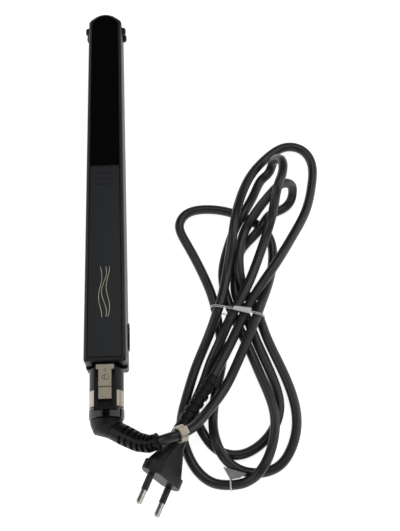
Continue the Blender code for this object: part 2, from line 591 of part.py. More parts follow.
# ---- the cord, its ties and its plug ----
def smooth_line(points, step):
    """Points every step along a natural cubic through the given ones."""
    knots = np.array(points, float)
    count = len(knots)
    spans = np.sqrt(np.linalg.norm(np.diff(knots, axis=0), axis=1))
    times = np.concatenate([[0], np.cumsum(spans)])
    system = np.eye(count)
    wanted = np.zeros((count, 3))
    for i in range(1, count - 1):
        system[i, i - 1 : i + 2] = spans[i - 1], 2 * (spans[i - 1] + spans[i]), spans[i]
        slopes = (knots[i + 1] - knots[i]) / spans[i], (knots[i] - knots[i - 1]) / spans[i - 1]
        wanted[i] = 6 * (slopes[0] - slopes[1])
    bend = np.linalg.solve(system, wanted)
    fine = np.linspace(0, times[-1], 30 * count)
    k = np.clip(np.searchsorted(times, fine, side="right") - 1, 0, count - 2)
    h = spans[k][:, None]
    a = (times[k + 1] - fine)[:, None] / h
    b = (fine - times[k])[:, None] / h
    line = a * knots[k] + b * knots[k + 1] + ((a**3 - a) * bend[k] + (b**3 - b) * bend[k + 1]) * h * h / 6
    run = np.concatenate([[0], np.cumsum(np.linalg.norm(np.diff(line, axis=0), axis=1))])
    even = np.linspace(0, run[-1], int(run[-1] / step) + 1)
    return np.stack([np.interp(even, run, line[:, i]) for i in range(3)], 1)


def thinned(line):
    """Fewer points where the line runs straight, more where it bends."""
    kept = [0]
    for i in range(2, len(line) - 4):
        since = line[kept[-1] + 1] - line[kept[-1]], line[i + 1] - line[i]
        turn = Vector(since[0]).angle(Vector(since[1]))
        if turn > CORD_TURN or np.linalg.norm(line[i] - line[kept[-1]]) > CORD_REACH:
            kept.append(i)
    return line[kept + [len(line) - 1]]


def cord(parent):
    line = smooth_line(CORD_ROUTE, 1.0)
    line[:, 2] = np.maximum(line[:, 2], CORD_LOWEST)
    line = thinned(line)
    curve = bpy.data.curves.new("cord", "CURVE")
    curve.dimensions = "3D"
    curve.bevel_depth = CORD_R * MM
    curve.bevel_resolution = 2
    curve.use_fill_caps = True
    spline = curve.splines.new("POLY")
    spline.points.add(len(line) - 1)
    for point, place in zip(spline.points, line):
        point.co = (*(Vector(place) * MM - parent.location), 1)
    spline.use_smooth = True
    curve.materials.append(material(*CORD_BLACK))
    made = bpy.data.objects.new("cord", curve)
    bpy.context.scene.collection.objects.link(made)
    made.parent = parent


def frame_of(forward, up=(0, 0, 1)):
    """Two directions square to forward: one level, and one as near to up as it gets."""
    forward = Vector(forward).normalized()
    level = forward.cross(Vector(up)).normalized()
    return level, level.cross(forward)


def tube_ring(centre, forward, radius, count=24):
    level, rise = frame_of(forward)
    return [tuple(Vector(centre) + level * a + rise * b) for a, b in circle(radius, count)]


def cord_clip(parent):
    """Keeper around the cord by the elbow, with a hooked lip on its upper side."""
    centre, along = CLIP_CENTRE, CLIP_ALONG
    level, rise = frame_of(along)
    band = lofted([tube_ring(centre + along * t, along, CLIP_R) for t in (-CLIP_HALF, CLIP_HALF)])
    made = add("cord_clip", band, CHAMPAGNE, parent, smooth=32)
    hook = [(-2.0, 4.2), (2.0, 4.2), (2.6, 6.0), (1.4, 6.6), (-2.0, 5.6)]
    ends = (-CLIP_HALF, CLIP_HALF)
    sides = [[tuple(centre + level * w + along * t + rise * h) for t, h in hook] for w in ends]
    cut(made, cutter("union_clip_hook", lofted(sides)), operation="UNION")
    bore = [tube_ring(centre + along * t, along, CLIP_BORE_R) for t in (-6, 6)]
    cut(made, cutter("cut_clip_bore", lofted(bore)))


def around(strands, sideways, upward):
    """Rounded outline at a distance outside the strands, in the tie's own plane."""
    outline_points = []
    count = len(strands)
    for i, (u, z) in enumerate(strands):
        before, after = strands[i - 1], strands[(i + 1) % count]
        start = math.atan2(-(u - before[0]), z - before[1])
        end = math.atan2(-(after[0] - u), after[1] - z)
        while end < start:
            end += math.tau
        for k in range(5):
            angle = start + (end - start) * k / 4
            outline_points.append((u + sideways * math.cos(angle), z + upward * math.sin(angle)))
    return outline_points


def bundle_tie(parent):
    """A flat wire tie around all the strands of the bundle."""
    along = (TIE_END - TIE_START).normalized()
    through = Vector((-along.y, along.x, 0))

    def loop(sideways, upward, half):
        flat = [TIE_START + along * u + Vector((0, 0, z)) for u, z in around(TIE_STRANDS, sideways, upward)]
        return lofted([[tuple(p + through * w) for p in flat] for w in (-half, half)])

    made = add("bundle_tie", loop(TIE_SIDEWAYS, TIE_UPWARD, TIE_HALF), TIE_WHITE, parent, smooth=32)
    inside = loop(TIE_SIDEWAYS - TIE_THICK, TIE_UPWARD - TIE_THICK, 3.0)
    cut(made, cutter("cut_bundle_tie", inside))


def loop_tie(parent):
    """A thin wire ring around the bottom loop."""
    centre, along = LOOP_TIE_CENTRE, LOOP_TIE_ALONG
    level, rise = frame_of(along)
    rings = []
    for i in range(24):
        angle = math.tau * i / 24
        out = level * math.cos(angle) + rise * math.sin(angle)
        rings.append([tuple(centre + out * (LOOP_TIE_R + a) + along * b) for a, b in circle(LOOP_WIRE_R, 8)])
    bm = bmesh.new()
    rows = [[bm.verts.new(p) for p in ring] for ring in rings]
    for i, row in enumerate(rows):
        after = rows[(i + 1) % len(rows)]
        for k in range(len(row)):
            n = (k + 1) % len(row)
            bm.faces.new((row[k], row[n], after[n], after[k]))
    add("loop_tie", bm, TIE_WHITE, parent, smooth=60)


def plug_axes():
    """The plug's long way across its face, and its thin way."""
    level, rise = frame_of(PLUG_FORWARD)
    long_way = level * math.cos(PLUG_ROLL) + rise * math.sin(PLUG_ROLL)
    return long_way, PLUG_FORWARD.cross(long_way)


def turned_pin(root, profile):
    """A solid of revolution about the plug's forward line; the profile is (distance, radius) pairs."""
    return lofted([tube_ring(root + PLUG_FORWARD * t, PLUG_FORWARD, radius, 20) for t, radius in profile])


def plug(parent):
    long_way, thin_way = plug_axes()
    quarter = [(1, 0), (0.98, 0.32), (0.86, 0.64), (0.66, 0.96), (0.56, 1.0)]
    upper = quarter + [(-a, b) for a, b in reversed(quarter)]
    ring = upper + [(a, -b) for a, b in reversed(upper[1:-1])]
    round_ring = circle(1.0, len(ring))

    def section(t, half_long, half_thick, roundness):
        points = []
        for (a, b), (c, d) in zip(ring, round_ring):
            a += (c - a) * roundness
            b += (d - b) * roundness
            offset = long_way * a * half_long + thin_way * b * half_thick
            points.append(tuple(PLUG_FACE - PLUG_FORWARD * t + offset))
        return points

    long_half, thick = PLUG_HALF_LONG, PLUG_HALF_THICK
    stations = [(0, long_half - 0.7, thick - 0.6, 0), (0.6, long_half, thick, 0)]
    stations += [(5.8, long_half, thick, 0), (6.2, 14.6, 5.7, 0), (7.2, 14.6, 5.7, 0)]
    stations += [(15, 9.6, 5.6, 0.3), (21, 6.4, 5.2, 0.8), (PLUG_LENGTH, 5.2, 5.1, 1)]
    add("plug_body", lofted([section(*station) for station in stations]), SATIN_BLACK, parent, smooth=35)

    start = PLUG_FACE - PLUG_FORWARD * (PLUG_LENGTH + GAP)
    end, near_end = Vector(CORD_ROUTE[-1]), Vector(CORD_ROUTE[-2])
    lead = (near_end - end).normalized()
    end -= lead * GAP
    reach = (end - start).length
    rings = []
    for k in range(PLUG_RIBS * 2):
        for t in (k / (PLUG_RIBS * 2), (k + 0.96) / (PLUG_RIBS * 2)):
            u = 1 - t
            bend = (start - PLUG_FORWARD * reach / 3, end - lead * reach / 3)
            place = start * u**3 + bend[0] * 3 * u * u * t + bend[1] * 3 * u * t * t + end * t**3
            along = (-PLUG_FORWARD * u + lead * t).normalized()
            rings.append(tube_ring(place, along, 4.9 - 1.0 * t - (0.7 if k % 2 else 0), 20))
    rings.append(tube_ring(end, lead, 3.8, 20))
    add("plug_relief", lofted(rings), SATIN_BLACK, parent, smooth=30)

    for label, side in (("upper", 1), ("lower", -1)):
        root = PLUG_FACE + long_way * side * PIN_SPACING / 2

        core = [(GAP, 1.2), (PIN_SLEEVE + 0.6, 1.2), (PIN_SLEEVE + 0.65, PIN_R)]
        core += [(PIN_LENGTH - 1.2, PIN_R), (PIN_LENGTH - 0.3, 1.5), (PIN_LENGTH, 0.8)]
        add(f"plug_pin_{label}", turned_pin(root, core), NICKEL, parent, smooth=35)
        sleeve = turned_pin(root, [(GAP, PIN_R), (PIN_SLEEVE + 0.3, PIN_R)])
        made = add(f"pin_sleeve_{label}", sleeve, HEAT_PLASTIC, parent, smooth=35)
        bore = turned_pin(root, [(-2, 1.5), (PIN_SLEEVE + 2, 1.5)])
        cut(made, cutter(f"cut_pin_sleeve_{label}", bore))


def build():
    for old in list(bpy.data.objects):
        bpy.data.objects.remove(old, do_unlink=True)
    arm = empty("arm_hinge", (0, HINGE_Y, HINGE_Z))
    upper_shell(arm)
    lower_shell()
    panels(arm)
    tip_pin("upper_tip_pin", PARTING_Z + TIP_PIN_UP, arm)
    tip_pin("lower_tip_pin", PARTING_Z - TIP_PIN_UP)
    plate_stack("upper", empty("upper_plate_float", (0, 80, PARTING_Z)), arm)
    plate_stack("lower", empty("lower_plate_float", (0, 80, PARTING_Z)), None)
    arm_internals(arm)
    electronics()
    power_slider(empty("power_slide", (12, SWITCH_Y, SWITCH_Z)))
    barrel()
    trim_ring()
    end_cap()
    lock_channel()
    lock_slider(empty("lock_slide", (0, LOCK_FRONT_Y, LOCK_TOP_Z)))
    hinge_pin()
    swivel = empty("cord_swivel", (0, -130, AXIS_Z))
    swivel_hub(swivel)
    elbow(swivel)
    cord(swivel)
    cord_clip(swivel)
    bundle_tie(swivel)
    loop_tie(swivel)
    plug(swivel)


build()
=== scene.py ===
# %% [markdown]
# # A slim hair straightener, closed and locked
# Two arms meet on a cross pin above a round barrel. The barrel ends in a champagne ring, a glossy cap and
# a swivel that the cord leaves through. The cord is folded into long loops, held by two white wire ties,
# and ends in a flat two-pin plug.
#
# The solid pieces come from the CAD model. This notebook gives them their finishes and adds what CAD
# leaves out: the smooth cord, the ribs of the boot, the grip marks, the engraved icons and the wires of
# the ties. It could all be modelled again from nothing, but then the looks would drift away from the
# piece that moves and carries load. Building on the loaded frame keeps both the same.

import json
import math

import bmesh
import bpy
import numpy as np
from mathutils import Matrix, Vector
from mathutils.bvhtree import BVHTree


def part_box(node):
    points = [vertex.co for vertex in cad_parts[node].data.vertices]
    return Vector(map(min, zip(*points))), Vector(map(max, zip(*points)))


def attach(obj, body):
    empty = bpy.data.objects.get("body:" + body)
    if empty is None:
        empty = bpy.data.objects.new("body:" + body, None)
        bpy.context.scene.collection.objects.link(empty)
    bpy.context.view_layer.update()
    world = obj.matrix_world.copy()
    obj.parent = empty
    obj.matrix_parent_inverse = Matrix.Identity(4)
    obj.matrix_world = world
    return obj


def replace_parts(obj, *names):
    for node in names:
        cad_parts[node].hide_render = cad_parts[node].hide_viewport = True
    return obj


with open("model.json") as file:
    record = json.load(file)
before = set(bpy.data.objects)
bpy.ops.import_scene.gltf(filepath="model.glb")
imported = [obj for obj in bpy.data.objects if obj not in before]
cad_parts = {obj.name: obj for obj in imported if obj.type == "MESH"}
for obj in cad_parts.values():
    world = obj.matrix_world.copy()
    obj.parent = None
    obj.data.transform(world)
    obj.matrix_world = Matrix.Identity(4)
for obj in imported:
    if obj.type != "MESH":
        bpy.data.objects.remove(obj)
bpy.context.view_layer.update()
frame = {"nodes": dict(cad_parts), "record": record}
nodes = frame["nodes"]
MM = 0.001

# %% [markdown]
# ## The camera
# The object is seen from high above its plug end, a little from its left, with the arms pointing away.
# A wide lens close by would spread the arms apart, and an orthographic camera would lose the slight
# narrowing towards the tip. A long lens from half a metre keeps both right.

# %% Camera
CAMERA_PLACE = Vector((0.0512, -0.2375, 0.5497))
CAMERA_FORWARD = Vector((0.01223, 0.34180, -0.93969))
LENS = 62.03


def make_camera():
    data = bpy.data.cameras.new("camera")
    data.lens = LENS
    camera = bpy.data.objects.new("camera", data)
    camera.location = CAMERA_PLACE
    camera.rotation_euler = CAMERA_FORWARD.to_track_quat("-Z", "Y").to_euler()
    bpy.context.scene.collection.objects.link(camera)
    bpy.context.scene.camera = camera
    return camera


print("camera with a lens of", round(make_camera().data.lens, 1), "mm")

# %% [markdown]
# ## Light, floor and world
# A shop picture of a black object stands on pure white. One big lamp overhead would do that too, but it
# would shine back from every black face. The big lamps stand low at the sides and the front instead, so
# the black faces stay dark. A small lamp above the tip gives the panels their sheen, and the floor gives
# off light of its own, which keeps it white without a brighter lamp.

# %% Lamps
LAMP_AIM = (0.03, 0, 0)
# place, width and height in metres, and power in watts
LAMPS = {
    "key": ((1.15, 0.1, 0.62), 0.9, 1.6, 6),
    "fill": ((-1.05, -0.1, 0.6), 0.9, 1.6, 6),
    "front": ((0.05, -1.25, 0.75), 1.6, 0.7, 4),
    "sheen": ((0.30, 0.42, 1.15), 0.25, 0.5, 2.2),
}


def area_light(name, place, width, height, power):
    data = bpy.data.lights.new(name, "AREA")
    data.shape = "RECTANGLE"
    data.size = width
    data.size_y = height
    data.energy = power
    light = bpy.data.objects.new(name, data)
    light.location = place
    light.rotation_euler = (Vector(LAMP_AIM) - Vector(place)).to_track_quat("-Z", "Y").to_euler()
    bpy.context.scene.collection.objects.link(light)


for lamp_name, lamp in LAMPS.items():
    area_light(lamp_name, *lamp)
print(len(LAMPS), "lamps")

# %% Floor and world
FLOOR_HALF = 3.0
FLOOR_DROP = 0.0002  # keeps the floor just under the object's lowest faces
FLOOR_GLOW = 0.84
WORLD_GLOW = 0.035


def make_floor():
    mesh = bpy.data.meshes.new("floor")
    corners = [(FLOOR_HALF * x, FLOOR_HALF * y, 0) for x, y in ((-1, -1), (1, -1), (1, 1), (-1, 1))]
    mesh.from_pydata(corners, [], [(0, 1, 2, 3)])
    floor = bpy.data.objects.new("floor", mesh)
    floor.location.z = -FLOOR_DROP
    bpy.context.scene.collection.objects.link(floor)
    paint = bpy.data.materials.new("floor")
    paint.use_nodes = True
    shader = paint.node_tree.nodes["Principled BSDF"]
    shader.inputs["Base Color"].default_value = (0.92, 0.92, 0.92, 1)
    shader.inputs["Roughness"].default_value = 0.9
    shader.inputs["Emission Color"].default_value = (1, 1, 1, 1)
    shader.inputs["Emission Strength"].default_value = FLOOR_GLOW
    mesh.materials.append(paint)


def make_world():
    world = bpy.data.worlds.new("studio")
    world.use_nodes = True
    background = world.node_tree.nodes["Background"]
    background.inputs["Color"].default_value = (1, 1, 1, 1)
    background.inputs["Strength"].default_value = WORLD_GLOW
    bpy.context.scene.world = world


make_floor()
make_world()
bpy.context.scene.view_settings.view_transform = "Standard"
print("a floor", 2 * FLOOR_HALF, "m wide, and a dim world")

# %% [markdown]
# ## Surface effects
# Moulded plastic is never one flat value. Each finish could carry its own noise nodes, or a painted
# texture. Here two noises of different size give a small change of colour, of roughness and of height, and
# they sit in one shader group. So every finish uses the same idea with its own sizes, and a change to the
# idea is made once. Turned and brushed metal stretches the fine noise along one axis.


# %% The surface group
FINE_SHARE, BROAD_SHARE = 0.6, 0.4
BROAD_SCALE, FINE_DETAIL = 28.0, 3.0


def group_socket(tree, name, way, kind="NodeSocketFloat", value=None):
    made = tree.interface.new_socket(name, in_out=way, socket_type=kind)
    if value is not None:
        made.default_value = value
    return made


def build_surface_group():
    tree = bpy.data.node_groups.new("surface", "ShaderNodeTree")
    group_socket(tree, "Base", "INPUT", "NodeSocketColor", (0.1, 0.1, 0.1, 1))
    defaults = {"Roughness": 0.5, "Grain": 900.0, "Change": 0.1, "Stretch": 1.0, "Height": 0.2}
    for name, value in defaults.items():
        group_socket(tree, name, "INPUT", value=value)
    group_socket(tree, "Color", "OUTPUT", "NodeSocketColor")
    group_socket(tree, "Roughness", "OUTPUT")
    group_socket(tree, "Height", "OUTPUT")
    add, link = tree.nodes.new, tree.links.new
    given = add("NodeGroupInput")
    result = add("NodeGroupOutput")
    place = add("ShaderNodeTexCoord")
    stretch = add("ShaderNodeCombineXYZ")
    stretch.inputs["X"].default_value = 1.0
    stretch.inputs["Z"].default_value = 1.0
    link(given.outputs["Stretch"], stretch.inputs["Y"])
    scaled = add("ShaderNodeVectorMath")
    scaled.operation = "MULTIPLY"
    link(place.outputs["Object"], scaled.inputs[0])
    link(stretch.outputs["Vector"], scaled.inputs[1])
    fine = add("ShaderNodeTexNoise")
    fine.inputs["Detail"].default_value = FINE_DETAIL
    link(scaled.outputs["Vector"], fine.inputs["Vector"])
    link(given.outputs["Grain"], fine.inputs["Scale"])
    broad = add("ShaderNodeTexNoise")
    broad.inputs["Scale"].default_value = BROAD_SCALE
    link(place.outputs["Object"], broad.inputs["Vector"])

    def maths(operation, a, b):
        step = add("ShaderNodeMath")
        step.operation = operation
        for socket, value in zip(step.inputs, (a, b)):
            if isinstance(value, float):
                socket.default_value = value
            else:
                link(value, socket)
        return step.outputs["Value"]

    small = maths("MULTIPLY", fine.outputs["Fac"], FINE_SHARE)
    large = maths("MULTIPLY", broad.outputs["Fac"], BROAD_SHARE)
    both = maths("ADD", small, large)
    swing = maths("MULTIPLY", maths("SUBTRACT", both, 0.5), given.outputs["Change"])
    tone = add("ShaderNodeVectorMath")
    tone.operation = "SCALE"
    link(given.outputs["Base"], tone.inputs[0])
    link(maths("ADD", maths("MULTIPLY", swing, 2.0), 1.0), tone.inputs["Scale"])
    link(tone.outputs["Vector"], result.inputs["Color"])
    link(maths("ADD", given.outputs["Roughness"], swing), result.inputs["Roughness"])
    link(maths("MULTIPLY", fine.outputs["Fac"], given.outputs["Height"]), result.inputs["Height"])
    return tree


SURFACE = build_surface_group()
print(len(SURFACE.nodes), "nodes in the surface group")

# %% A finish from the surface group
BUMP_DISTANCE, BUMP_STRENGTH = 0.0002, 0.35
COAT_ROUGHNESS = 0.06
USUAL = {"grain": 900.0, "change": 0.12, "stretch": 1.0, "height": 0.2}


def finish(name, base, roughness, metallic=0.0, coat=0.0, shine=0.5, **texture):
    """A Principled material whose colour, roughness and bump come from the surface group."""
    made = bpy.data.materials.new(name)
    made.use_nodes = True
    tree = made.node_tree
    shader = tree.nodes["Principled BSDF"]
    surface = tree.nodes.new("ShaderNodeGroup")
    surface.node_tree = SURFACE
    surface.inputs["Base"].default_value = (*base, 1)
    surface.inputs["Roughness"].default_value = roughness
    for key, usual in USUAL.items():
        surface.inputs[key.capitalize()].default_value = texture.get(key, usual)
    bump = tree.nodes.new("ShaderNodeBump")
    bump.inputs["Distance"].default_value = BUMP_DISTANCE
    bump.inputs["Strength"].default_value = BUMP_STRENGTH
    tree.links.new(surface.outputs["Color"], shader.inputs["Base Color"])
    tree.links.new(surface.outputs["Roughness"], shader.inputs["Roughness"])
    tree.links.new(surface.outputs["Height"], bump.inputs["Height"])
    tree.links.new(bump.outputs["Normal"], shader.inputs["Normal"])
    shader.inputs["Metallic"].default_value = metallic
    shader.inputs["Specular IOR Level"].default_value = shine
    shader.inputs["Coat Weight"].default_value = coat
    shader.inputs["Coat Roughness"].default_value = COAT_ROUGHNESS
    return made


print("usual texture", USUAL)

# %% [markdown]
# ## Finishes
# The arms are satin black with a fine spark-eroded grain. The front panels are piano black: almost no grain
# and a low roughness, which shows the lamps as in a mirror. The handle panels are a softer charcoal. The
# ring, the clip, the lock and the three lines are champagne paint with a little metal in it. A fully
# metallic champagne comes out too dark, because metal only shows what it mirrors. The inner
# parts get the finishes of what they stand for.

# %% The finishes
FINISHES = {
    "satin_black": finish("satin_black", (0.008, 0.0085, 0.01), 0.42, shine=0.28, grain=1400.0, change=0.16),
    "gloss_black": finish("gloss_black", (0.001, 0.0012, 0.0016), 0.12, grain=60.0, change=0.04, height=0.01),
    "charcoal": finish("charcoal", (0.011, 0.013, 0.0165), 0.42, grain=2200.0, change=0.1, height=0.1),
    "champagne": finish("champagne", (0.53, 0.47, 0.37), 0.34, 0.35, stretch=0.06, height=0.15),
    "steel": finish("steel", (0.55, 0.55, 0.56), 0.28, 1.0, grain=1500.0, stretch=12.0),
    "brass": finish("brass", (0.62, 0.46, 0.2), 0.3, 1.0, grain=1500.0, stretch=10.0),
    "plate_coat": finish("plate_coat", (0.075, 0.07, 0.066), 0.22, 0.5, grain=2600, change=0.2, height=0.08),
    "heat_plastic": finish("heat_plastic", (0.014, 0.014, 0.015), 0.55, grain=1100, change=0.2, height=0.35),
    "ceramic_white": finish("ceramic_white", (0.76, 0.74, 0.69), 0.5, grain=700.0, change=0.08, height=0.25),
    "mica": finish("mica", (0.42, 0.34, 0.2), 0.35, grain=260.0, change=0.3, height=0.1),
    "silicone": finish("silicone", (0.45, 0.09, 0.055), 0.55, grain=600.0),
    "board_green": finish("board_green", (0.025, 0.15, 0.055), 0.4, coat=0.3, grain=420.0, change=0.2),
    "cord_black": finish("cord_black", (0.019, 0.0205, 0.023), 0.36, grain=1000.0, change=0.14, height=0.12),
    "nickel": finish("nickel", (0.62, 0.6, 0.56), 0.24, 1.0, grain=1200.0, stretch=0.2, height=0.1),
    "tie_white": finish("tie_white", (0.82, 0.82, 0.82), 0.38, grain=700.0, change=0.05),
}

# %% Each node gets its slot's finish
SLOT_OF = {entry["node"]: entry["material_slot"] for entry in frame["record"]["subparts"]}
for node_name, node in nodes.items():
    node.data.materials.clear()
    node.data.materials.append(FINISHES[SLOT_OF[node_name]])
print(len(FINISHES), "finishes on", len(SLOT_OF), "nodes")

# %% [markdown]
# ## The cord
# The cord leaves the elbow, runs beside the arms, folds back on itself in long loops and comes home to the
# plug. It could be dropped by a rope simulation, but the tied loops cross each other in a set order, which
# a simulation would not find. Instead its middle line goes through listed places, in millimetres, as it does
# in the CAD model. A natural cubic through them bends the way a soft jacket does, with no kinks.

# %% The cord's places
CORD_R = 3.0
CORD_LOWEST = CORD_R + 0.05
CORD_ROUTE = [
    (31.0, -152.3, 25.3), (37.7, -150.8, 27.3), (48.5, -146, 23), (60, -133.5, 14), (70.5, -119.5, 9.5),
    (79, -103.5, 9.5), (88.5, -83.5, 10.6), (95.5, -67, 10.4), (101.5, -51, 5), (105, -33.5, 3.1),
    (103.5, -21.5, 3.1), (98, -13.5, 3.1), (84.5, -5, 3.1), (69, -0.5, 3.1), (55, -1, 3.1),
    (48.5, -5, 3.1), (46, -12, 3.1), (51, -25, 3.1), (60, -45, 3.1), (66, -64, 4.6), (69, -84, 3.1),
    (69.5, -101.5, 3.1), (65, -121, 3.1), (62.5, -139, 5), (63.5, -150, 9), (67, -159, 9),
    (73.5, -165.5, 5.5), (82.5, -169, 3.1), (92.5, -169, 3.1), (101.5, -165, 3.1),
    (108.5, -155.5, 3.1), (112.5, -142, 3.1), (111.5, -126, 3.1), (105.5, -107, 3.1),
    (97.5, -86.5, 3.7), (92, -69.5, 4.6), (85.5, -57.5, 6), (83, -46.5, 9.5), (83.5, -32.5, 10.1),
    (87.5, -19, 10.1), (92, -12, 12.5), (98.5, -5, 19), (106, 1.5, 25.5), (111.5, 6.5, 24.5),
    (117, 8.5, 20), (119.5, 7.5, 13), (118.5, 2.5, 7), (113, -2.5, 5), (104.5, -7, 6.5),
    (99, -15, 9.5), (92.5, -22, 6.7), (85.5, -28.5, 3.3), (81.5, -40, 3.1), (80, -58, 3.1),
    (84.5, -71, 4.8), (91.5, -90, 3.1), (99, -110.5, 3.1), (103, -128, 3.1), (100.5, -140, 3.1),
    (92.5, -151, 3.1), (80.5, -158, 3.1), (70.5, -158, 3.1), (62, -153, 3.1), (54.5, -141.5, 3.1),
    (51.5, -130, 3.1), (56.5, -117.5, 3.1), (62.5, -102.5, 5), (68.5, -91, 9.5), (76.5, -75, 12),
    (85.5, -59.5, 12.5), (93, -43, 11.5), (99.5, -26.5, 12), (104, -14.5, 17), (106, -7, 26.5),
    (108, 1, 32), (111.5, 10.5, 31.5), (112.5, 20, 28.5), (110.5, 25, 23), (108, 26, 15.5),
    (105.5, 22, 9), (100.5, 18, 6.5), (95, 7.5, 7.5), (86.5, -8, 9.5), (80.5, -18, 6), (76, -29, 3.1),
    (72.5, -44.5, 3.1), (74, -60.5, 4.6), (79, -76, 4.6), (86.5, -94.5, 3.5), (93, -113.5, 6),
    (98.5, -132.5, 9.5), (98.5, -146.5, 10), (94.5, -160, 10), (88, -170, 10), (80, -175, 6.5),
    (70.5, -176, 4.7), (60.5, -174, 3.8), (51.5, -166, 3.5), (45.5, -153, 3.1), (43.5, -139, 3.1),
    (47, -123.5, 3.1), (53.5, -104.5, 3.1), (61, -88, 5.5), (67, -74, 10.5), (71.5, -61, 10.5),
    (75.5, -43.5, 10), (78.5, -28.5, 14.5), (81.5, -12.5, 16), (85.5, 2.5, 12.5), (92.5, 18.5, 9.5),
    (102.5, 31, 8), (115.5, 40.5, 7), (125, 41, 6), (131.5, 36, 6), (134.5, 26.5, 6), (133, 13, 6.5),
    (128, -4.5, 7.5), (118.5, -22, 9.5), (107, -40.5, 12.5), (96.5, -55, 12), (85.5, -72, 11),
    (76.5, -89.5, 9.5), (63.8, -112.2, 10.4),
]
print(len(CORD_ROUTE), "places along the cord")


# %% A smooth line through places
def smooth_line(points, step):
    """Points every step along a natural cubic through the given ones."""
    knots = np.array(points, float)
    count = len(knots)
    spans = np.sqrt(np.linalg.norm(np.diff(knots, axis=0), axis=1))
    times = np.concatenate([[0], np.cumsum(spans)])
    system = np.eye(count)
    wanted = np.zeros((count, 3))
    for i in range(1, count - 1):
        system[i, i - 1 : i + 2] = spans[i - 1], 2 * (spans[i - 1] + spans[i]), spans[i]
        ahead, behind = (knots[i + 1] - knots[i]) / spans[i], (knots[i] - knots[i - 1]) / spans[i - 1]
        wanted[i] = 6 * (ahead - behind)
    bend = np.linalg.solve(system, wanted)
    fine = np.linspace(0, times[-1], 30 * count)
    k = np.clip(np.searchsorted(times, fine, side="right") - 1, 0, count - 2)
    h = spans[k][:, None]
    a = (times[k + 1] - fine)[:, None] / h
    b = (fine - times[k])[:, None] / h
    line = a * knots[k] + b * knots[k + 1] + ((a**3 - a) * bend[k] + (b**3 - b) * bend[k + 1]) * h * h / 6
    run = np.concatenate([[0], np.cumsum(np.linalg.norm(np.diff(line, axis=0), axis=1))])
    even = np.linspace(0, run[-1], int(run[-1] / step) + 1)
    return np.stack([np.interp(even, run, line[:, i]) for i in range(3)], 1)


CORD_STEP = 1.6
cord_line = smooth_line(CORD_ROUTE, CORD_STEP)
cord_line[:, 2] = np.maximum(cord_line[:, 2], CORD_LOWEST)


# %% A round wire, and the cord as one
def wire(name, points, radius, finish_name, body, closed=False, rounds=4):
    """A round wire through points in millimetres."""
    curve = bpy.data.curves.new(name, "CURVE")
    curve.dimensions = "3D"
    curve.bevel_depth = radius * MM
    curve.bevel_resolution = rounds
    curve.use_fill_caps = True
    spline = curve.splines.new("POLY")
    spline.points.add(len(points) - 1)
    for point, place in zip(spline.points, points):
        point.co = (*(Vector(place) * MM), 1)
    spline.use_cyclic_u = closed
    spline.use_smooth = True
    curve.materials.append(FINISHES[finish_name])
    made = bpy.data.objects.new(name, curve)
    bpy.context.scene.collection.objects.link(made)
    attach(made, body)
    return made


cord = wire("free_cord", cord_line, CORD_R, "cord_black", "swivel")
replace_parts(cord, "cord")
print("a tube", 2 * CORD_R, "mm thick stands for the plain CAD cord")

# %% [markdown]
# ## Marks on the upper arm
# The grip marks, the three wavy lines on the handle and the lock's icons all lie on a sloping face. They
# could be cut into it with Booleans, but then the CAD meshes would change. Each is laid out flat instead,
# dropped straight down onto the face below it, and sunk a little so that only its top shows.


# %% Dropping points onto a face
DROP_FROM = 0.06


def surface_of(node_name):
    mesh = nodes[node_name].data
    return BVHTree.FromPolygons([v.co.copy() for v in mesh.vertices], [p.vertices[:] for p in mesh.polygons])


def dropped(face, points, lift):
    """Points (x, y) in millimetres, put on the face below them and then moved up by the lift."""
    placed = []
    for x, y in points:
        hit = face.ray_cast(Vector((x * MM, y * MM, DROP_FROM)), Vector((0, 0, -1)))[0]
        if hit is not None:
            placed.append((x, y, hit.z / MM + lift))
    return placed


handle_face = surface_of("upper_handle_panel")
print("the handle's face has", len(nodes["upper_handle_panel"].data.polygons), "faces")

# %% Wavy lines on the handle
LINE_ENDS = (-46.0, -78.0)
LINE_MIDDLES_AND_SWINGS = ((-2.6, 1.0), (-0.3, 1.5), (2.0, 1.0))
LINE_WAVES, LINE_SHIFT = 1.25, 0.12  # waves along a line, and how far each line's wave runs ahead
LINE_R, MARK_SINK = 0.26, -0.12
for k, (middle, swing) in enumerate(LINE_MIDDLES_AND_SWINGS):
    steps = np.linspace(0, 1, 60)
    across = middle + swing * np.sin(math.tau * (steps * LINE_WAVES + LINE_SHIFT * k))
    wave = list(zip(across, LINE_ENDS[0] + (LINE_ENDS[1] - LINE_ENDS[0]) * steps))
    laid = dropped(handle_face, wave, MARK_SINK)
    wire(f"strand_line_{k + 1}", laid, LINE_R, "champagne", "upper_arm", rounds=2)
print(len(LINE_MIDDLES_AND_SWINGS), "wavy lines")

# %% [markdown]
# ## Grip marks and switch ribs
# Short bars stand in a row on the handle, and finer ones on the power switch. They could be copied one by
# one. Geometry Nodes places them instead: a mesh line of points, one rounded bar on each, then the bars
# made real with their finish. The count and the pitch stay two plain inputs.


